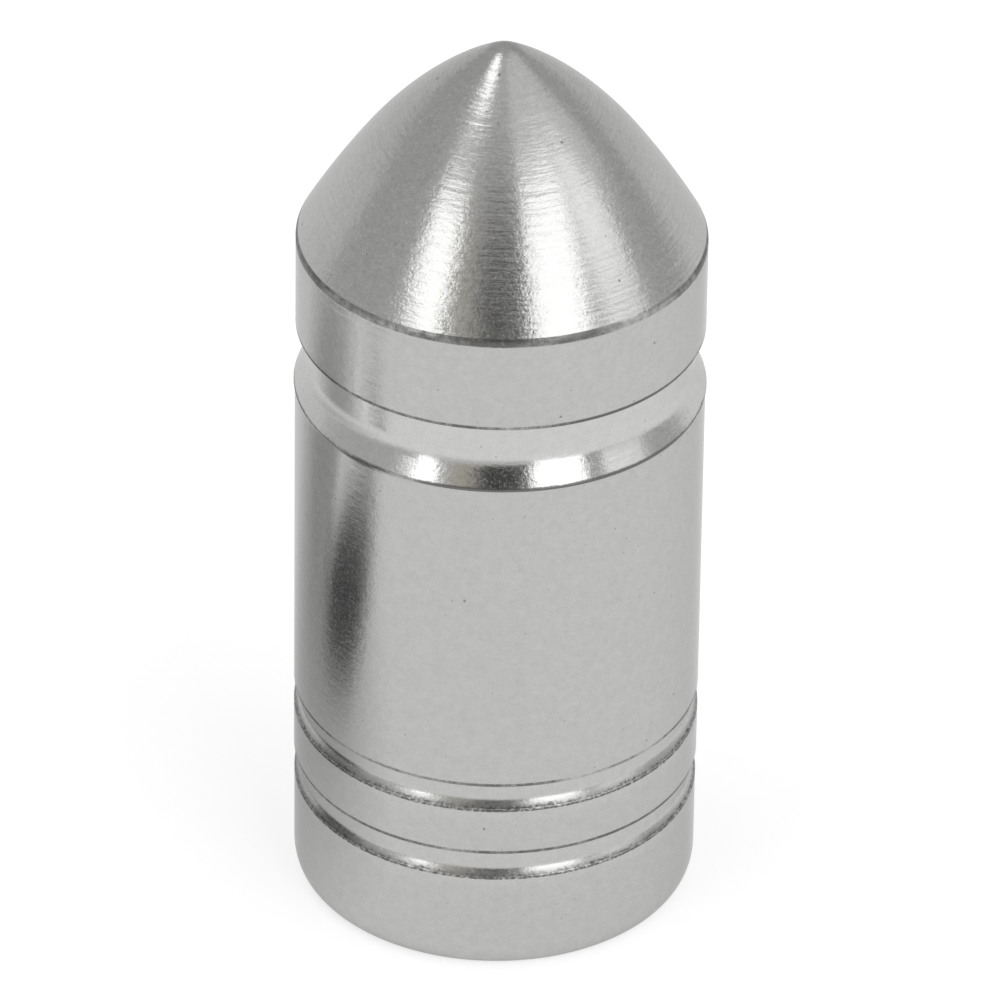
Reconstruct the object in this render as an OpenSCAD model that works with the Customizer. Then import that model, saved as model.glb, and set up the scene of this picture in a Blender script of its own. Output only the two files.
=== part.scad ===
// Tyre valve cap: a turned aluminium cap with a long arched nose, and the rubber
// washer inside it that seals against the end of the valve stem.
// Lengths are in millimetres. The cap stands on its open mouth, which is at z = 0.

/* [Outside] */
// Thickness of the cap's wall around the thread
wall_t = 1.1; // [0.9:0.05:2]
// Height of the straight body, from the mouth to the foot of the nose
body_h = 18.2; // [17.6:0.1:22]
// Radius of the rounded outer edge of the mouth
mouth_round = 0.45; // [0.2:0.05:0.6]

/* [Nose] */
// Lean of the nose's side from upright at its foot, in degrees
foot_lean = 29; // [26:0.5:33]
// Radius of the long arc that rises from the foot
foot_arc_r = 22; // [18:1:30]
// Lean at which the tighter upper arc takes over, in degrees
upper_lean = 36.5; // [35:0.5:40]
// Radius of the upper arc
upper_arc_r = 10.6; // [9.6:0.1:12]
// Radius of the rounded tip
tip_r = 1; // [0.4:0.1:1.6]

/* [Finger groove] */
// Height of the wide groove's square upper edge above the mouth
wide_top = 15.78; // [15:0.1:17]
// Width of the wide groove along the cap
wide_w = 1.7; // [1.5:0.1:2.4]
// Depth of the wide groove
wide_depth = 0.3; // [0.2:0.05:0.5]
// Corner radius of the tool that swept the wide groove's lower side
wide_tool_r = 0.95; // [0.8:0.05:1.2]

/* [Ring grooves] */
// Height of the upper ring groove's square edge above the mouth
upper_ring_top = 5.44; // [5:0.1:8]
// Height of the lower ring groove's square edge above the mouth
lower_ring_top = 3.46; // [2.2:0.1:3.8]
// Width of a ring groove along the cap
ring_w = 0.72; // [0.6:0.04:1]
// Depth of a ring groove
ring_depth = 0.2; // [0.1:0.02:0.3]
// Corner radius of the tool that swept a ring groove's lower side
ring_tool_r = 0.35; // [0.3:0.05:0.6]

/* [Threaded bore] */
// Diameter of the bored wall, at the roots of the thread
thread_d = 7.8; // [7.6:0.05:7.9]
// Depth of the bored wall from the mouth
thread_h = 9; // [8:0.5:10]
// Width of the lead-in bevel at the mouth
lead_in = 0.35; // [0.2:0.05:0.5]
// Width of the shoulder that the washer seats against
shoulder_w = 0.6; // [0.4:0.1:1]
// Depth of the drilled hole's straight wall beyond the washer
drill_h = 1.4; // [0.6:0.2:2]
// Full angle of the drill's point, in degrees
drill_point = 118; // [110:2:135]

/* [Sealing washer] */
// How far the washer's edge lies outside the thread's roots
washer_reach = 0.1; // [0.05:0.05:0.2]
// Diameter of the washer's hole, which clears the valve's pin
washer_hole_d = 3.2; // [2.6:0.2:4]
// Thickness of the washer
washer_t = 1.2; // [1:0.1:1.6]
// Clearance around the washer in its chamber
washer_gap = 0.1; // [0.05:0.05:0.15]
// Free height below the washer in its chamber
washer_play = 0.4; // [0.2:0.1:0.6]

/* [Hidden] */
$fn = 180;

thread_r = thread_d / 2;
body_r = thread_r + wall_t;
washer_r = thread_r + washer_reach;
chamber_r = washer_r + washer_gap;
drill_r = chamber_r - shoulder_w;

// The washer's upper face seats against the shoulder at this height
seat_z = thread_h + washer_play + washer_t;
drill_top_z = seat_z + drill_h;
drill_point_h = drill_r / tan(drill_point / 2);

// Each cut runs this far past the surface that it opens
overrun = 0.5;
// The nose's outline reaches this far down into the body's, so that they join
nose_overlap = 0.5;
// Largest change of lean between two points of the nose's outline, in degrees
arc_step = 1.5;

// A point at a distance and a lean from a centre, as [radius, height]
function on_arc(centre, r, lean) = centre + r * [cos(lean), sin(lean)];

// Points along an arc from one lean up to another, both ends included
function arc_points(centre, r, low_lean, high_lean) =
    let (steps = ceil((high_lean - low_lean) / arc_step))
    [for (i = [0:steps]) on_arc(centre, r, low_lean + (high_lean - low_lean) * i / steps)];

// The nose is three arcs that run into each other without a corner
foot = [body_r, body_h];
foot_centre = on_arc(foot, -foot_arc_r, foot_lean);
upper_start = on_arc(foot_centre, foot_arc_r, upper_lean);
upper_centre = on_arc(upper_start, -upper_arc_r, upper_lean);
tip_lean = acos(-upper_centre[0] / (upper_arc_r - tip_r));
tip_centre = [0, upper_centre[1] + (upper_arc_r - tip_r) * sin(tip_lean)];

// Half outline of the nose, from its foot to its tip
module nose_outline() {
    polygon(concat(
        [[0, body_h - nose_overlap], [body_r, body_h - nose_overlap]],
        arc_points(foot_centre, foot_arc_r, foot_lean, upper_lean),
        arc_points(upper_centre, upper_arc_r, upper_lean + arc_step, tip_lean),
        arc_points(tip_centre, tip_r, tip_lean + arc_step, 90)
    ));
}

// Half outline of the straight body, with its outer edge rounded at the mouth
module body_outline() {
    edge_centre = [body_r - mouth_round, mouth_round];
    translate([0, mouth_round]) square([body_r, body_h - mouth_round]);
    square([edge_centre[0], mouth_round]);
    intersection() {
        translate(edge_centre) circle(r = mouth_round);
        translate([edge_centre[0], -mouth_round]) square(2 * mouth_round);
    }
}

// Section of a groove: a square upper edge and a straight floor, then a lower side
// that sweeps out to the surface on the tool's corner radius
module groove_section(top_z, width, depth, tool_r) {
    floor_r = body_r - depth;
    sweep_h = sqrt(tool_r * tool_r - (tool_r - depth) * (tool_r - depth));
    sweep_z = top_z - width + sweep_h;
    translate([floor_r, sweep_z]) square([depth + overrun, top_z - sweep_z]);
    intersection() {
        translate([floor_r + tool_r, sweep_z]) circle(r = tool_r);
        translate([0, sweep_z - 2 * tool_r]) square([body_r + overrun, 2 * tool_r]);
    }
}

// Half outline of everything bored out from the mouth: the lead-in, the thread's wall,
// the washer's chamber and shoulder, and the drilled hole with its point
module bore_outline() {
    polygon([
        [0, -overrun],
        [thread_r + lead_in + overrun, -overrun],
        [thread_r, lead_in],
        [thread_r, thread_h],
        [chamber_r, thread_h],
        [chamber_r, seat_z],
        [drill_r, seat_z],
        [drill_r, drill_top_z],
        [0, drill_top_z + drill_point_h],
    ]);
}

module cap_body() {
    color("silver") rotate_extrude() difference() {
        union() {
            body_outline();
            nose_outline();
        }
        groove_section(wide_top, wide_w, wide_depth, wide_tool_r);
        groove_section(upper_ring_top, ring_w, ring_depth, ring_tool_r);
        groove_section(lower_ring_top, ring_w, ring_depth, ring_tool_r);
        bore_outline();
    }
}

module sealing_washer() {
    color("dimgray") translate([0, 0, seat_z - washer_t]) difference() {
        cylinder(r = washer_r, h = washer_t);
        translate([0, 0, -overrun]) cylinder(d = washer_hole_d, h = washer_t + 2 * overrun);
    }
}

cap_body();
sealing_washer();
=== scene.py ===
# Looks of the tyre valve cap: a turned aluminium cap that stands on its open mouth, and
# the rubber washer inside it. Lengths are in metres; sizes given in millimetres are
# multiplied by MM.
import math

import bmesh
import bpy
from mathutils import Matrix, Vector


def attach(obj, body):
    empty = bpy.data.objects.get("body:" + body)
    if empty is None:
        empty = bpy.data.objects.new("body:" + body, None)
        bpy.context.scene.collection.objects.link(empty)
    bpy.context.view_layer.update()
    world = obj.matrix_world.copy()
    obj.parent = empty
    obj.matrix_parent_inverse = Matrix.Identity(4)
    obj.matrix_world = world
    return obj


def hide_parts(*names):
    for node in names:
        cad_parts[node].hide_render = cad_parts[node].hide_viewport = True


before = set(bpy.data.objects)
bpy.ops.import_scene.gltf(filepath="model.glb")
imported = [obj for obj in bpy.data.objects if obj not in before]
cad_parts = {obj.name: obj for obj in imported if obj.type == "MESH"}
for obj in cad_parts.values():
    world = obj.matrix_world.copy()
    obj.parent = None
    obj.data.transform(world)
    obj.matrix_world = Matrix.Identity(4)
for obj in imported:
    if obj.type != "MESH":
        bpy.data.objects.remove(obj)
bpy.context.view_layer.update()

MM = 0.001

# The view
# A long lens 275 mm from the cap looks down on it from 33 degrees, and the cap leans
# under a degree in the picture, because the camera was not quite level.
view_distance = 274.76 * MM
view_height_angle = math.radians(33.147)
view_roll = math.radians(0.80)
view_aim = Vector((0.039, 0.0, 10.521)) * MM
view_lens = 403.49

camera_data = bpy.data.cameras.new("view")
camera_data.lens = view_lens
camera_data.sensor_width = 36
camera_data.clip_start = 10 * MM
camera_data.clip_end = 5000 * MM
camera = bpy.data.objects.new("view", camera_data)
bpy.context.scene.collection.objects.link(camera)
to_camera = Vector((0, -math.cos(view_height_angle), math.sin(view_height_angle)))
level_up = Vector((0, math.sin(view_height_angle), math.cos(view_height_angle)))
turned_up = Matrix.Rotation(view_roll, 3, to_camera) @ level_up
turned_right = turned_up.cross(to_camera)
camera.matrix_world = Matrix.Translation(view_aim + view_distance * to_camera) @ Matrix(
    (turned_right, turned_up, to_camera)).transposed().to_4x4()
bpy.context.scene.camera = camera
bpy.context.scene.view_settings.view_transform = "Standard"


# The studio
# A white table under a pale tent. Two tall softboxes stand in front, with a dark card between
# them where the camera is, and panels and a high lamp stand round the cap. They light the cap
# and show in its metal, but the camera looks through them.
class Value:
    """One output of a node. Arithmetic on it adds the Math nodes that work it out."""

    def __init__(self, tree, socket):
        self.tree = tree
        self.socket = socket

    def math(self, operation, *others, swap=False):
        node = self.tree.nodes.new("ShaderNodeMath")
        node.operation = operation
        terms = (self,) + others
        if swap:
            terms = terms[::-1]
        for place, term in enumerate(terms):
            plug(self.tree, term, node.inputs[place])
        return Value(self.tree, node.outputs[0])

    def __add__(self, other):
        return self.math("ADD", other)

    __radd__ = __add__

    def __sub__(self, other):
        return self.math("SUBTRACT", other)

    def __rsub__(self, other):
        return self.math("SUBTRACT", other, swap=True)

    def __mul__(self, other):
        return self.math("MULTIPLY", other)

    __rmul__ = __mul__

    def __truediv__(self, other):
        return self.math("DIVIDE", other)

    def __gt__(self, other):
        return self.math("GREATER_THAN", other)

    def at_most(self, other):
        return self.math("MINIMUM", other)

    def at_least(self, other):
        return self.math("MAXIMUM", other)


def plug(tree, term, socket):
    """Link a node's output to a socket, or set the socket to a plain value."""
    if isinstance(term, Value):
        tree.links.new(term.socket, socket)
    else:
        socket.default_value = term


class Nodes:
    """Adds nodes to one tree, each with its settings first and then its sockets."""

    def __init__(self, tree):
        self.tree = tree

    def add(self, kind, settings=None, sockets=None, out=0):
        """Gives one output of the new node, or all of them by name where out is None."""
        node = self.tree.nodes.new(kind)
        for name, setting in (settings or {}).items():
            setattr(node, name, setting)
        for name, term in (sockets or {}).items():
            plug(self.tree, term, node.inputs[name])
        if out is None:
            return {socket.name: Value(self.tree, socket) for socket in node.outputs}
        return Value(self.tree, node.outputs[out])


def blank_material(name):
    """A new material without nodes, and what adds nodes to it."""
    material = bpy.data.materials.new(name)
    material.use_nodes = True
    material.node_tree.nodes.clear()
    return material, Nodes(material.node_tree)


def glow(name, strength, tint=(1, 1, 1), sampled=False):
    """An even light of one brightness, for a panel or the tent."""
    material, nodes = blank_material(name)
    light = nodes.add("ShaderNodeEmission", sockets={"Color": (*tint, 1), "Strength": strength})
    nodes.add("ShaderNodeOutputMaterial", sockets={"Surface": light}, out=None)
    material.cycles.emission_sampling = "AUTO" if sampled else "NONE"
    return material


def mesh_piece(name, verts, faces, material):
    """An object of plain faces in one material."""
    mesh = bpy.data.meshes.new(name)
    mesh.from_pydata(verts, [], faces)
    mesh.materials.append(material)
    piece = bpy.data.objects.new(name, mesh)
    bpy.context.scene.collection.objects.link(piece)
    return piece


def oval(half_x, half_y, step):
    """The corners of a level oval round the origin, one every so many degrees."""
    return [(half_x * math.cos(math.radians(angle)), half_y * math.sin(math.radians(angle)), 0)
            for angle in range(0, 360, step)]


def light_panel(name, verts, columns, rows, strength, **light):
    """A panel of a grid of points, which the camera looks through."""
    faces = [(i * rows + j, (i + 1) * rows + j, (i + 1) * rows + j + 1, i * rows + j + 1)
             for i in range(columns - 1) for j in range(rows - 1)]
    panel = mesh_piece(name, verts, faces, glow(name, strength, **light))
    panel.visible_camera = False


def steps_across(degrees, fewest):
    """How many flat steps make a bend of so many degrees look round in the metal."""
    degrees_a_step = 6
    return max(fewest, round(degrees / degrees_a_step))


def round_panel(name, rows, distance, strength, **light):
    """An upright panel bent round the cap, with its height and both side azimuths by rows.

    Azimuth 0 is the camera's side, + is right. Heights are angles over the table.
    """
    steps = steps_across(rows[0][2] - rows[0][1], 2)
    verts = []
    for step in range(steps + 1):
        for height, left, right in rows:
            azimuth = math.radians(left + (right - left) * step / steps)
            elevation = math.radians(height)
            verts.append((distance * math.sin(azimuth), -distance * math.cos(azimuth),
                          distance * math.tan(elevation)))
    light_panel(name, verts, steps + 1, len(rows), strength, **light)


def dome_panel(name, azimuths, elevations, distance, strength):
    """A panel of a dome over the cap, between two azimuths and two elevations."""
    steps = steps_across(azimuths[1] - azimuths[0], 2)
    rows = steps_across(elevations[1] - elevations[0], 1)
    verts = []
    for step in range(steps + 1):
        azimuth = math.radians(azimuths[0] + (azimuths[1] - azimuths[0]) * step / steps)
        for row in range(rows + 1):
            elevation = math.radians(elevations[0] + (elevations[1] - elevations[0]) * row / rows)
            verts.append((distance * math.cos(elevation) * math.sin(azimuth),
                          -distance * math.cos(elevation) * math.cos(azimuth),
                          distance * math.sin(elevation)))
    light_panel(name, verts, steps + 1, rows + 1, strength)


# Panels that overlap, as the cap sees them, stand at distances of their own
panel_distance = 0.40
high_right_distance = 0.41
top_distance = 0.50
top_left_distance = 0.55
backdrop_distance = 0.59
rim_distance = 0.61
tent_distance = 0.62
dome_panel("tent", (-180, 180), (0, 90), tent_distance, strength=0.57)
round_panel("softbox_left", [(8, -44, -35), (20, -44, -35), (25, -57, -33), (44, -60, -31)],
            panel_distance, strength=2.7, sampled=True)
round_panel("softbox_right", [(3, 20, 46), (20, 20, 46), (25, 17, 50), (28, 17, 56), (60, 18, 62)],
            panel_distance, strength=2.4, sampled=True)
round_panel("camera_card", [(13, -8, 18), (21, -8, 18), (25, -15, 14), (36, -15, 14)],
            panel_distance, strength=0.02)
round_panel("card_top", [(36, -15, 14), (49, -15, 14)], panel_distance, strength=0.36)
round_panel("table_end", [(0, -32, 20), (13, -32, 20)], panel_distance, strength=0.74)
round_panel("warm_card", [(13, -22, -9), (21, -22, -9), (25, -31, -17), (40, -31, -17)],
            panel_distance, strength=0.5, tint=(1, 0.93, 0.78))
round_panel("gap_card", [(5, 47, 56), (20, 47, 56), (25, 51, 59), (27, 51, 59)],
            panel_distance, strength=0.35)
round_panel("fill_low_right", [(5, 57, 82), (20, 57, 84)], panel_distance, strength=1.05)
round_panel("fill_right", [(20, 57, 84), (26, 60, 88), (38, 60, 82), (50, 60, 80)],
            panel_distance, strength=1.75)
round_panel("fill_high_right", [(26, 86, 106), (38, 78, 112), (58, 58, 112)],
            high_right_distance, strength=0.95)
round_panel("right_card", [(2, 88, 112), (14, 88, 112)], panel_distance, strength=0.5)
round_panel("table_rim", [(0, -180, 180), (4, -180, 180)], rim_distance, strength=0.85)
round_panel("backdrop_left", [(0, -165, -108), (22, -165, -108)], backdrop_distance, strength=0.85)
round_panel("backdrop_right", [(0, 122, 165), (22, 122, 165)], backdrop_distance, strength=0.85)
dome_panel("lamp_high_left", (-140, -55), (64, 79), top_distance, strength=2.8)
dome_panel("top_right", (14, 150), (50, 88), top_distance, strength=0.88)
dome_panel("top_left", (-180, 14), (62, 88), top_left_distance, strength=0.68)

floor_radius = 1.2
floor_albedo = 0.5
floor_glow = 0.62
# On top of the light that falls on it, the table glows for the camera and in reflections
white_floor, nodes = blank_material("white_table")
seen = (nodes.add("ShaderNodeLightPath", out="Is Camera Ray")
        + nodes.add("ShaderNodeLightPath", out="Is Glossy Ray")
        + nodes.add("ShaderNodeLightPath", out="Is Transmission Ray"))
lit = nodes.add("ShaderNodeBsdfDiffuse", sockets={"Color": (floor_albedo,) * 3 + (1,)})
white = nodes.add("ShaderNodeEmission", sockets={"Strength": seen.at_most(1) * floor_glow})
both = nodes.add("ShaderNodeAddShader", sockets={0: lit, 1: white})
nodes.add("ShaderNodeOutputMaterial", sockets={"Surface": both}, out=None)
rim = oval(floor_radius, floor_radius, step=6)
floor = mesh_piece("table", rim, [tuple(range(len(rim)))], white_floor)


def soft_patch(name, centre, half, turn_deg, brightness, soft, upright_azimuth=None):
    """A soft-edged patch beside the cap, outside the picture, that its metal reflects.

    It lies on the table, each a little higher than the last, or stands across an azimuth.
    Its centre and half sizes are in millimetres.
    """
    material, nodes = blank_material(name)
    place = nodes.add("ShaderNodeTexCoord", out="Object")
    place = nodes.add("ShaderNodeMapping", sockets={
        "Vector": place,
        "Scale": (1 / (half[0] * MM), 1 / (half[1] * MM), 0),
    })
    reach = nodes.add("ShaderNodeVectorMath", {"operation": "LENGTH"}, {0: place}, out="Value")
    edge = ((1 - reach) / soft).at_least(0).at_most(1)
    light = nodes.add("ShaderNodeEmission", sockets={"Strength": brightness})
    clear = nodes.add("ShaderNodeBsdfTransparent")
    both = nodes.add("ShaderNodeMixShader", sockets={0: edge, 1: clear, 2: light})
    nodes.add("ShaderNodeOutputMaterial", sockets={"Surface": both}, out=None)
    material.cycles.emission_sampling = "NONE"
    corners = oval(half[0] * MM, half[1] * MM, step=15)
    patch = mesh_piece(name, corners, [tuple(range(len(corners)))], material)
    turned = Matrix.Rotation(math.radians(turn_deg), 4, "Z")
    if upright_azimuth is not None:
        raised = Matrix.Rotation(math.radians(90), 4, "X")
        turned = Matrix.Rotation(math.radians(upright_azimuth), 4, "Z") @ raised @ turned
    patch.matrix_world = Matrix.Translation(Vector(centre) * MM) @ turned
    patch.visible_camera = False
    patch.visible_diffuse = False
    patch.visible_shadow = False


# A painted soft shadow lying on the table left of the cap, that only the metal shows
soft_patch("soft_shadow_patch", (-22.1, 4.1, 0.2), (20, 13.8), 165, brightness=0.47, soft=0.6)
# A wide grey patch far off on the table, dimmer than the table, that only the metal shows
soft_patch("far_grey_patch", (-170, 30, 0.8), (145, 80), 170, brightness=0.55, soft=0.6)
soft_patch("table_glint", (-20.1, -0.7, 0.4), (4.8, 3.6), 0, brightness=2.2, soft=0.5)
soft_patch("narrow_glint", (-26.3, -4.3, 0.6), (1.2, 1.0), 0, brightness=3.0, soft=0.6)
# Dark patches left of the cap, one lying on the table and one standing, that only the metal shows
soft_patch("clip_end", (-24.8, -9.3, 0.6), (1.8, 3.0), 0, brightness=0.08, soft=0.5)
soft_patch("dark_standing_patch", (-13.6, -2.4, 3.5), (3.4, 6.0), -56, brightness=0.06, soft=0.5,
           upright_azimuth=-80)

world = bpy.data.worlds.new("white_room")
world.use_nodes = True
world.node_tree.nodes["Background"].inputs["Color"].default_value = (1, 1, 1, 1)
world.node_tree.nodes["Background"].inputs["Strength"].default_value = 1
bpy.context.scene.world = world


# Cap body
# The cap is turned from one bar of aluminium: faced and arched to a nose, grooved with
# round-cornered tools, drilled, and bored for the washer and for the thread, which is
# tapped into the bore right-handed, 32 to the inch.

# The straight wall and the mouth, in millimetres like all sizes of the section
body_r = 5.0
band_r = 4.987
mouth_round_r = 0.37
mouth_round_h = 0.60
mouth_inner_r = 4.25
# The nose: a long arc from its foot, a tighter one above, and the rounded tip
nose_foot_z = 18.21
nose_foot_lean = math.radians(29.2)
nose_long_arc_r = 23.6
nose_upper_lean = math.radians(35.7)
nose_upper_arc_r = 10.76
nose_tip_r = 0.9
foot_round = 0.16
# The grooves: a square upper edge, a floor, a bend of a given radius and a side that leans out
# by so many degrees, which ends in a small lip at the wide groove
wide_groove = {"top": 15.75, "width": 1.68, "depth": 0.30, "bend": 0.9, "lean": 28,
               "matt": 0.19, "shine": 0.15}
upper_ring = {"top": 5.41, "width": 0.69, "depth": 0.14, "bend": 0.22, "lean": 29,
              "matt": 0.26, "shine": 0.05}
lower_ring = {**upper_ring, "top": 3.42, "width": 0.72}
floor_flat_share = 0.35
floor_taper = 0.01
side_shares = (0.3, 0.55, 0.8)
inner_round = 0.04
edge_round = 0.04
lip_out = 0.03
lip_h = 0.12
lip_round = 0.1
# The surface: how matt it is, how strong the turning marks are, how dark and torn its edges are
nose_matt = 0.25
body_matt = 0.2
bore_matt = 0.28
body_marks = 0.2
bore_marks = 0.4
# The dark lines at the square groove edges, the lip and the nose's foot are painted shade with some
# dirt; the torn edges are dark with dirt
groove_edge_dark = 0.9
side_edge_dark = 1.2
torn_edge_dark = 1.0
foot_dark = 0.85
dark_reach = 0.045
torn_dark_reach = 0.025
foot_dark_reach = 0.055
side_soil = 0.45
tear_depth = 0.01
# The bore, the washer's chamber and the drilled hole above it
bore_r = 3.9
bore_z = (0.35, 9.0)
chamber_r = 4.1
seat_z = 10.6
drill_r = 3.5
drill_top_z = 12.0
drill_half_angle = math.radians(59)
bore_round = 0.03
seat_round = 0.05
drill_round = 0.1
# The thread
thread_z = (0.45, 9.0)
thread_pitch = 25.4 / 32
thread_depth = 0.43
thread_root_flat = thread_pitch / 8
thread_crest_flat = thread_pitch / 4
thread_corner = 0.035
thread_corner_rise = 0.1
thread_run_out = 0.5


class Section:
    """Half section of a turned piece, as points of radius and height in millimetres.

    Each point carries what its surface is like: how matt it is, how strong the turning
    marks are, whether it is a dark edge or torn, and how the thread's ridge stands there.
    """

    def __init__(self):
        self.points = []
        self.surface = {"matt": 0.3, "marks": 0.0, "shine": 0.0, "dark_edge": 0.0, "torn": 0.0,
                        "threaded": 0.0, "ridge": 0.0, "dark_reach": dark_reach}

    def to(self, r, z, corner=0.0, **marks):
        self.points.append({"r": r, "z": z, "corner": corner, **self.surface, **marks})

    def arc(self, centre, radius, start, end, step, radius_z=None):
        """Points round a centre, between two angles in radians from straight outwards."""
        count = max(2, math.ceil(abs(math.degrees(end - start)) / step))
        for i in range(count + 1):
            angle = start + (end - start) * i / count
            self.to(centre[0] + radius * math.cos(angle),
                    centre[1] + (radius_z or radius) * math.sin(angle))

    def rounded(self):
        """The points with a small arc in place of each corner, and flat sides beyond it.

        The dark of an edge reaches past its arc before it fades.
        """
        fade = 0.03
        arc_share = 0.4
        beside_share = 0.5
        degrees_a_step = 25
        result = [self.points[0]]
        for before, here, after in zip(self.points, self.points[1:], self.points[2:]):
            if not here["corner"]:
                result.append(here)
                continue
            # The arms run from the corner to the points before and after it
            corner = Vector((here["r"], here["z"]))
            arms = [Vector((there["r"], there["z"])) - corner for there in (before, after)]
            turn = math.pi - arms[0].angle(arms[1])
            reach = min(here["corner"] * math.tan(turn / 2), *(arc_share * arm.length for arm in arms))
            # Beside the arc an edge's dark reaches a little further, and then the metal is plain
            plain_metal = {**here, "dark_edge": 0.0, "torn": 0.0}
            beside = [(reach + fade, plain_metal)]
            if here["dark_edge"]:
                beside = [(reach + here["dark_reach"], here), (reach + 2 * here["dark_reach"], plain_metal)]
            sides = []
            for arm in arms:
                places = [corner + arm.normalized() * min(away, beside_share * arm.length)
                          for away, look in beside]
                sides.append([{**look, "r": place.x, "z": place.y}
                              for place, (away, look) in zip(places, beside)])
            back, ahead = (arm.normalized() for arm in arms)
            radius = reach / math.tan(turn / 2)
            centre = corner + (back + ahead).normalized() * (radius / math.cos(turn / 2))
            spoke = corner + back * reach - centre
            sign = 1 if back.x * ahead.y - back.y * ahead.x < 0 else -1
            steps = max(2, math.ceil(math.degrees(turn) / degrees_a_step))
            arc = [centre + Matrix.Rotation(sign * turn * i / steps, 2) @ spoke
                   for i in range(steps + 1)]
            result += sides[0][::-1]
            result += [{**here, "r": place.x, "z": place.y} for place in arc]
            result += sides[1]
        return result + [self.points[-1]]


def on_arc(centre, radius, lean):
    """The point at a lean from a centre; a minus radius gives the centre of an arc's point."""
    return (centre[0] + radius * math.cos(lean), centre[1] + radius * math.sin(lean))


def cut_groove(section, groove, outer_r, lip, torn):
    """From the square upper edge in to the floor, down it and out along the leaning side.

    Where the tool tore the metal, the side is soiled more and more towards its edge.
    """
    lean = math.radians(groove["lean"])
    bend = groove["bend"]
    floor_r = outer_r - groove["depth"]
    bottom = groove["top"] - groove["width"]
    rise = (groove["depth"] + lip - bend * (1 - math.cos(lean))) / math.tan(lean)
    bend_z = bottom + rise + bend * math.sin(lean)
    # The square edge's dark line is painted shade with some dirt
    section.to(outer_r, groove["top"], corner=edge_round, dark_edge=groove_edge_dark)
    section.surface.update(matt=groove["matt"], shine=groove["shine"])
    section.to(floor_r, groove["top"] - floor_taper, corner=inner_round)
    section.to(floor_r, groove["top"] - floor_flat_share * (groove["top"] - bend_z))
    section.arc((floor_r + bend, bend_z), bend, math.pi, math.pi + lean, step=3.0)
    for share in side_shares:
        left = (1 - share) * rise
        soiled = share if torn else 0.0
        section.to(outer_r + lip - left * math.tan(lean), bottom + left, dark_edge=soiled,
                   torn=soiled, shine=groove["shine"] - side_soil * soiled)
    if torn:
        section.to(outer_r + lip, bottom, corner=edge_round, dark_edge=torn_edge_dark, torn=1.0,
                   dark_reach=torn_dark_reach)
    else:
        # The lip's dark line is painted shade with some dirt
        section.to(outer_r + lip, bottom, corner=edge_round, dark_edge=side_edge_dark)
    section.surface.update(matt=body_matt, shine=0.0)


cap = Section()
foot = (band_r, nose_foot_z)
long_centre = on_arc(foot, -nose_long_arc_r, nose_foot_lean)
upper_start = on_arc(long_centre, nose_long_arc_r, nose_upper_lean)
upper_centre = on_arc(upper_start, -nose_upper_arc_r, nose_upper_lean)
tip_lean = math.acos(-upper_centre[0] / (nose_upper_arc_r - nose_tip_r))
tip_z = upper_centre[1] + (nose_upper_arc_r - nose_tip_r) * math.sin(tip_lean)
cap.surface.update(matt=nose_matt, marks=1.0)
cap.arc((0, tip_z), nose_tip_r, math.pi / 2, tip_lean, step=8.0)
# Each arc starts a little past the join, so that no two points fall together
past_join = 0.02
before_foot = 0.01
cap.arc(upper_centre, nose_upper_arc_r, tip_lean - past_join, nose_upper_lean, step=1.5)
cap.arc(long_centre, nose_long_arc_r, nose_upper_lean - past_join, nose_foot_lean + before_foot,
        step=1.0)
# The dark line round the nose's foot is painted shade with some dirt
cap.to(*foot, corner=foot_round, dark_edge=foot_dark, dark_reach=foot_dark_reach)
cap.surface.update(matt=body_matt, marks=body_marks)
# Points of the straight wall's own, off its edges, keep it flat and even between them
band_off_edges = (0.6, 0.5)
wall_off_edges = 1.0
ring_off_edge = 0.4
mouth_off_edge = 0.3
cap.to(band_r, nose_foot_z - band_off_edges[0])
cap.to(band_r, wide_groove["top"] + band_off_edges[1])
cut_groove(cap, wide_groove, band_r, lip_out + body_r - band_r, torn=False)
wide_bottom = wide_groove["top"] - wide_groove["width"]
cap.to(body_r, wide_bottom - lip_h, corner=lip_round)
cap.to(body_r, wide_bottom - wall_off_edges)
cap.to(body_r, upper_ring["top"] + wall_off_edges)
for ring, below_r in ((upper_ring, body_r), (lower_ring, band_r)):
    cut_groove(cap, ring, body_r, below_r - body_r, torn=True)
    cap.to(below_r, ring["top"] - ring["width"] - ring_off_edge)
cap.to(band_r, mouth_round_h + mouth_off_edge)
cap.arc((band_r - mouth_round_r, mouth_round_h), mouth_round_r, 0, -math.pi / 2, step=9.0,
        radius_z=mouth_round_h)
cap.to(mouth_inner_r, 0, corner=bore_round)
cap.surface.update(matt=bore_matt, marks=bore_marks)
cap.to(bore_r, bore_z[0], corner=bore_round)
cap.to(bore_r, thread_z[0])
# The thread's ridge over one pitch: height from the last ridge, and share of its full depth
flank = (thread_pitch - thread_root_flat - thread_crest_flat) / 2
ridge = [
    (0, 0),
    (thread_root_flat, 0),
    (thread_root_flat + thread_corner, thread_corner_rise),
    (thread_root_flat + flank - thread_corner, 1 - thread_corner_rise),
    (thread_root_flat + flank, 1),
    (thread_pitch - flank, 1),
    (thread_pitch - flank + thread_corner, 1 - thread_corner_rise),
    (thread_pitch - thread_corner, thread_corner_rise),
]
# The first winding starts a pitch below the thread, and rises into it on its way round
windings = math.ceil((thread_z[1] - thread_z[0]) / thread_pitch) + 1
for winding in range(windings):
    for rise, share in ridge:
        cap.to(bore_r, thread_z[0] + (winding - 1) * thread_pitch + rise, threaded=1.0,
               ridge=share * thread_depth)
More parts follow.
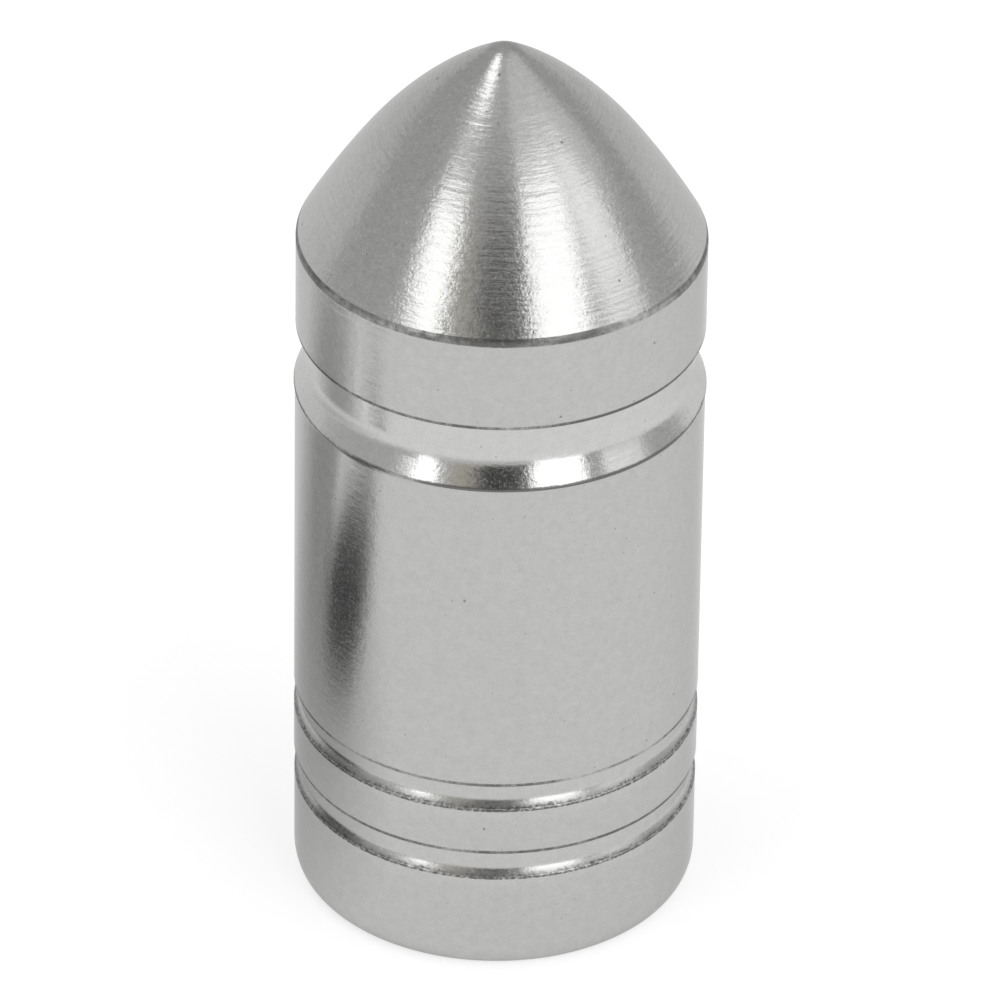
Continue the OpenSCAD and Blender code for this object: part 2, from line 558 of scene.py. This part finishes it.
# The chamber starts a hair higher than the bore ends, so that the two points stay apart
above_thread = 0.001
cap.to(bore_r, bore_z[1])
cap.to(chamber_r, bore_z[1] + above_thread, corner=bore_round)
cap.to(chamber_r, seat_z, corner=seat_round)
cap.to(drill_r, seat_z, corner=bore_round)
cap.to(drill_r, drill_top_z, corner=drill_round)
# A point beside the tip keeps the drilled cone straight up to it
beside_tip_r = 0.3
cap.to(beside_tip_r, drill_top_z + (drill_r - beside_tip_r) / math.tan(drill_half_angle))
cap.to(0, drill_top_z + drill_r / math.tan(drill_half_angle))

SURFACE_MARKS = ("matt", "marks", "shine", "dark_edge", "torn", "threaded", "ridge", "along")


def section_object(name, points, closed):
    """The section as a line of edges in the XZ plane, with its marks as attributes."""
    verts = [(p["r"] * MM, 0, p["z"] * MM) for p in points]
    edges = [(i, i + 1) for i in range(len(points) - 1)]
    if closed:
        edges.append((len(points) - 1, 0))
    length = 0
    for i, point in enumerate(points):
        if i:
            step = (point["r"] - points[i - 1]["r"], point["z"] - points[i - 1]["z"])
            length += math.hypot(*step)
        point["along"] = length
    mesh = bpy.data.meshes.new(name)
    mesh.from_pydata(verts, edges, [])
    for mark in SURFACE_MARKS:
        layer = mesh.attributes.new(mark, "FLOAT", "POINT")
        for i, point in enumerate(points):
            layer.data[i].value = point[mark]
    piece = bpy.data.objects.new(name, mesh)
    bpy.context.scene.collection.objects.link(piece)
    return piece


merge_gap = 0.0005 * MM
tear_scale = 6.0


def turning_tree():
    """Turns a section once round the Z axis, and winds its threaded points up a helix."""
    tree = bpy.data.node_groups.new("turn_on_lathe", "GeometryNodeTree")
    face = tree.interface
    face.new_socket("Section", in_out="INPUT", socket_type="NodeSocketGeometry")
    face.new_socket("Steps round", in_out="INPUT", socket_type="NodeSocketInt")
    face.new_socket("Thread pitch", in_out="INPUT", socket_type="NodeSocketFloat")
    face.new_socket("Thread bottom", in_out="INPUT", socket_type="NodeSocketFloat")
    face.new_socket("Thread top", in_out="INPUT", socket_type="NodeSocketFloat")
    face.new_socket("Thread run-out", in_out="INPUT", socket_type="NodeSocketFloat")
    face.new_socket("Tear depth", in_out="INPUT", socket_type="NodeSocketFloat")
    face.new_socket("Finish", in_out="INPUT", socket_type="NodeSocketMaterial")
    face.new_socket("Turned piece", in_out="OUTPUT", socket_type="NodeSocketGeometry")
    nodes = Nodes(tree)
    given = nodes.add("NodeGroupInput", out=None)

    def named(name):
        return nodes.add("GeometryNodeInputNamedAttribute", {"data_type": "FLOAT"},
                         {"Name": name}, out="Attribute")

    # The section is swept along a straight path into a flat sheet, one face for each step round,
    # and each point keeps its radius and height by name
    parts = nodes.add("ShaderNodeSeparateXYZ", sockets={0: nodes.add("GeometryNodeInputPosition")},
                      out=None)
    section = given["Section"]
    for name, part in (("section_r", parts["X"]), ("section_z", parts["Z"])):
        section = nodes.add("GeometryNodeStoreNamedAttribute",
                            {"data_type": "FLOAT", "domain": "POINT"},
                            {"Geometry": section, "Name": name, "Value": part})
    section = nodes.add("GeometryNodeMeshToCurve", sockets={"Mesh": section})
    path = nodes.add("GeometryNodeCurvePrimitiveLine", {"mode": "POINTS"},
                     {"Start": (0, 0, 0), "End": (0, 1, 0)})
    path = nodes.add("GeometryNodeResampleCurve", sockets={"Curve": path,
                                                           "Count": given["Steps round"] + 1})
    path = nodes.add("GeometryNodeStoreNamedAttribute", {"data_type": "FLOAT", "domain": "POINT"},
                     {"Geometry": path, "Name": "turn",
                      "Value": nodes.add("GeometryNodeSplineParameter", out="Factor")})
    sheet = nodes.add("GeometryNodeCurveToMesh", sockets={"Curve": path, "Profile Curve": section})

    # The sheet is rolled up round the axis, and its threaded points rise a pitch on the way
    angle = named("turn") * math.tau
    around_x = angle.math("COSINE")
    around_y = angle.math("SINE")
    z = named("section_z")
    low = given["Thread bottom"]
    high = given["Thread top"]
    wound = (z + named("turn") * given["Thread pitch"]).at_least(low).at_most(high)
    threaded = named("threaded")
    z = z * (1 - threaded) + wound * threaded
    # The ridge runs out at both ends of the thread
    run_out = given["Thread run-out"]
    fade = ((z - low) / run_out).at_least(0).at_most(1) * ((high - z) / run_out).at_least(0).at_most(1)
    # Torn metal stands out here and sinks in there
    tear_place = nodes.add("ShaderNodeCombineXYZ", sockets={
        "X": around_x * body_r, "Y": around_y * body_r, "Z": z / MM})
    tear = nodes.add("ShaderNodeTexNoise", {"noise_dimensions": "3D"},
                     {"Vector": tear_place, "Scale": tear_scale, "Detail": 3.0,
                      "Roughness": 0.6})
    r = (named("section_r") - named("ridge") * MM * fade
         + (tear - 0.5) * named("torn") * given["Tear depth"])
    turned = nodes.add("ShaderNodeCombineXYZ", sockets={"X": r * around_x, "Y": r * around_y, "Z": z})
    sheet = nodes.add("GeometryNodeSetPosition", sockets={"Geometry": sheet, "Position": turned})
    sheet = nodes.add("GeometryNodeMergeByDistance", sockets={"Geometry": sheet,
                                                              "Distance": merge_gap})
    sheet = nodes.add("GeometryNodeRealizeInstances", sockets={"Geometry": sheet})
    sheet = nodes.add("GeometryNodeSetMaterial", sockets={"Geometry": sheet,
                                                          "Material": given["Finish"]})
    nodes.add("NodeGroupOutput", sockets={"Turned piece": sheet}, out=None)
    return tree


lathe = turning_tree()
cap_steps_round = 320


def turn(name, points, finish, closed=False, **sizes):
    """Turn a section into a plain closed mesh, with its normals outwards."""
    piece = section_object(name, points, closed)
    modifier = piece.modifiers.new("lathe", "NODES")
    modifier.node_group = lathe
    inputs = {"Steps round": cap_steps_round, "Thread pitch": 0.0, "Thread bottom": 0.0,
              "Thread top": 0.0, "Thread run-out": 1.0, "Tear depth": 0.0, "Finish": finish,
              **sizes}
    for item in lathe.interface.items_tree:
        if item.in_out == "INPUT" and item.name in inputs:
            modifier[item.identifier] = inputs[item.name]
    evaluated = piece.evaluated_get(bpy.context.evaluated_depsgraph_get())
    mesh = bpy.data.meshes.new_from_object(evaluated)
    piece.modifiers.clear()
    line = piece.data
    piece.data = mesh
    bpy.data.meshes.remove(line)
    mesh.name = name
    work = bmesh.new()
    work.from_mesh(mesh)
    bmesh.ops.remove_doubles(work, verts=work.verts, dist=merge_gap)
    bmesh.ops.recalc_face_normals(work, faces=work.faces)
    work.to_mesh(mesh)
    work.free()
    mesh.shade_smooth()
    mesh.update()
    return piece


def millimetre_place(nodes):
    """Where a point of the piece lies, in millimetres."""
    place = nodes.add("ShaderNodeTexCoord", out="Object")
    return nodes.add("ShaderNodeVectorMath", {"operation": "SCALE"}, {0: place, "Scale": 1 / MM})


def turned_aluminium():
    """Satin grey metal with turning marks, a fine mottle, pits, and edges darkened by dirt and painted
    shade.

    Patterns are laid out in millimetres, and their heights are in millimetres too.
    """
    metal_tone = 0.472
    red_share = 1.003
    blue_share = 0.982
    grazing_tint = (0.74, 0.74, 0.74, 1)
    brushed = 0.62
    brushed_turn = 0.25
    grain_tone = 0.2
    marked_grain_tone = 0.12
    mottle_tone = 0.22
    spot_darkening = 0.5
    mottle_matt = 0.06
    scratch_matt = 0.1
    torn_matt = 0.1
    film_share = 0.9
    dirt_and_shade_start = 0.45
    dirt_and_shade_contrast = 1.6
    dirt_and_shade_drift = 2.4
    dirt_and_shade_mottle = 0.9
    dirt_and_shade_grain = 0.5
    dirt_shreds = 3
    dirt_and_shade_darkening = 0.72
    dirt_and_shade_matt = 0.1
    mottle_height = 0.004
    shred_height = 0.006
    pit_depth = 0.008
    material, nodes = blank_material("turned_aluminium")

    def mark(name):
        return nodes.add("ShaderNodeAttribute", {"attribute_name": name}, out="Fac")

    def noise(vector, scale, detail, roughness):
        """A cloudy pattern that swings up to a half either side of nothing."""
        return nodes.add("ShaderNodeTexNoise", {"noise_dimensions": "3D"},
                         {"Vector": vector, "Scale": scale, "Detail": detail,
                          "Roughness": roughness}) - 0.5

    place = millimetre_place(nodes)
    axes = nodes.add("ShaderNodeSeparateXYZ", sockets={0: place}, out=None)
    along = mark("along")

    def stretched(share):
        """Coordinates in which a pattern runs round the cap, drawn out along the tool's path."""
        return nodes.add("ShaderNodeCombineXYZ", sockets={
            "X": axes["X"] * share, "Y": axes["Y"] * share, "Z": along})

    def spots(scale, radius, share):
        """Round spots of a radius in millimetres, one in a share of the cells of the space."""
        least = 0.4
        sharpness = 50
        cells = nodes.add("ShaderNodeTexVoronoi", sockets={"Vector": place, "Scale": scale}, out=None)
        pick = nodes.add("ShaderNodeSeparateColor", sockets={"Color": cells["Color"]})
        inside = radius * scale * (least + pick * (1 - least)) - cells["Distance"]
        return (inside * (sharpness / scale)).at_least(0).at_most(1) * (pick > 1 - share)

    # The tool's feed leaves rings: their pattern changes fast along the section, hardly round it
    rings = noise(stretched(0.03), scale=8.0, detail=1.0, roughness=0.5)
    # Short scratches between the rings, about three times as long as they are wide
    scratches = noise(stretched(0.35), scale=12.0, detail=2.0, roughness=0.6)
    # Shreds of metal where the tool tore it
    shreds = noise(stretched(0.8), scale=14.0, detail=2.0, roughness=0.6)
    grain = noise(place, scale=15.0, detail=1.0, roughness=0.6)
    mottle = noise(place, scale=4.5, detail=3.0, roughness=0.65)
    drift = noise(place, scale=0.35, detail=1.0, roughness=0.5)
    pit = spots(scale=1.3, radius=0.05, share=0.35)
    speck = spots(scale=2.8, radius=0.032, share=0.6)
    marks = mark("marks")
    torn = mark("torn")

    # Painted shade and dirt lie at the dark edges, more in some stretches than in others, and a tear
    # is full of dirt
    gathered = mark("dark_edge") * (1 + drift * (1 - torn) * dirt_and_shade_drift)
    broken = mottle * dirt_and_shade_mottle + grain * dirt_and_shade_grain + shreds * torn * dirt_shreds
    dirt_and_shade = ((gathered - dirt_and_shade_start + broken) * dirt_and_shade_contrast).at_least(0).at_most(1)

    tone = 1 + mark("shine") + grain * (grain_tone + marks * marked_grain_tone) + mottle * mottle_tone
    tone = metal_tone * tone * (1 - spot_darkening * pit) * (1 - spot_darkening * speck)
    # Painted shade and dirt darken the tone here
    tone = tone * (1 - dirt_and_shade_darkening * dirt_and_shade)
    colour = nodes.add("ShaderNodeCombineColor", sockets={
        "Red": tone * red_share, "Green": tone, "Blue": tone * blue_share})
    roughness = (mark("matt") + mottle * mottle_matt + scratches * scratch_matt * marks
                 + torn * torn_matt + dirt_and_shade * dirt_and_shade_matt)
    # Where the grain is high, a thin dull film covers some of the bare metal
    bare = 1 - (grain * film_share).at_least(0)

    def raised(pattern, on_marks, everywhere):
        """The height of a pattern, everywhere and more where the turning marks are."""
        return pattern * (on_marks * marks + everywhere)

    height = (raised(rings, on_marks=0.0085, everywhere=0.0003)
              + raised(scratches, on_marks=0.0056, everywhere=0.0008)
              + raised(grain, on_marks=0.001, everywhere=0.0012)
              + mottle * mottle_height + shreds * torn * shred_height - pit * pit_depth)
    bump = nodes.add("ShaderNodeBump", sockets={"Strength": 1.0, "Distance": MM, "Height": height})
    surface = nodes.add("ShaderNodeBsdfPrincipled", sockets={
        "Base Color": colour, "Metallic": bare, "Roughness": roughness, "Normal": bump,
        "Anisotropic": brushed, "Anisotropic Rotation": brushed_turn, "Specular Tint": grazing_tint})
    nodes.add("ShaderNodeOutputMaterial", sockets={"Surface": surface}, out=None)
    return material


cap_piece = turn("cap_body_turned", cap.rounded(), turned_aluminium(), **{
    "Thread pitch": thread_pitch * MM,
    "Thread bottom": thread_z[0] * MM,
    "Thread top": thread_z[1] * MM,
    "Thread run-out": thread_run_out * MM,
    "Tear depth": tear_depth * MM,
})
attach(cap_piece, "root")
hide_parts("cap_body")


# Sealing washer
# A flat ring punched from black rubber sheet, pressed up past the thread into its chamber,
# where it lies against the shoulder. The valve stem's end presses on its lower face.
washer_outer_r = 4.0
washer_hole_r = 1.6
washer_z = (9.4, 10.6)
washer_edge = 0.12
washer_dish = 0.04
washer_steps_round = 160


def black_rubber():
    """Matt black rubber with a fine grain and pale dust in its hollows."""
    rubber_tone = 0.022
    grain_tone = 0.012
    dust_tone = 0.035
    blue_share = 0.96
    dust_start = 0.52
    dust_contrast = 5
    grain_height = 0.02
    rubber_matt = 0.62
    grain_matt = 0.2
    material, nodes = blank_material("black_rubber")
    place = millimetre_place(nodes)
    grain = nodes.add("ShaderNodeTexNoise", sockets={"Vector": place, "Scale": 14.0, "Detail": 4.0,
                                                     "Roughness": 0.65})
    dust = nodes.add("ShaderNodeTexNoise", sockets={"Vector": place, "Scale": 1.6, "Detail": 3.0})
    dusty = ((dust - dust_start) * dust_contrast).at_least(0).at_most(1) * grain
    tone = rubber_tone + grain * grain_tone + dusty * dust_tone
    colour = nodes.add("ShaderNodeCombineColor", sockets={"Red": tone, "Green": tone,
                                                          "Blue": tone * blue_share})
    bump = nodes.add("ShaderNodeBump", sockets={"Strength": 1.0, "Distance": MM,
                                                "Height": grain * grain_height})
    surface = nodes.add("ShaderNodeBsdfPrincipled", sockets={
        "Base Color": colour, "Roughness": rubber_matt + grain * grain_matt, "Normal": bump})
    nodes.add("ShaderNodeOutputMaterial", sockets={"Surface": surface}, out=None)
    return material


washer = Section()
middle_r = (washer_outer_r + washer_hole_r) / 2
washer.to(middle_r, washer_z[1])
washer.to(washer_outer_r, washer_z[1], corner=washer_edge)
washer.to(washer_outer_r, washer_z[0], corner=washer_edge)
washer.to(middle_r, washer_z[0] + washer_dish)
washer.to(washer_hole_r, washer_z[0], corner=washer_edge)
washer.to(washer_hole_r, washer_z[1], corner=washer_edge)
washer_piece = turn("sealing_washer_rubber", washer.rounded(), black_rubber(), closed=True,
                    **{"Steps round": washer_steps_round})
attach(washer_piece, "root")
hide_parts("sealing_washer")
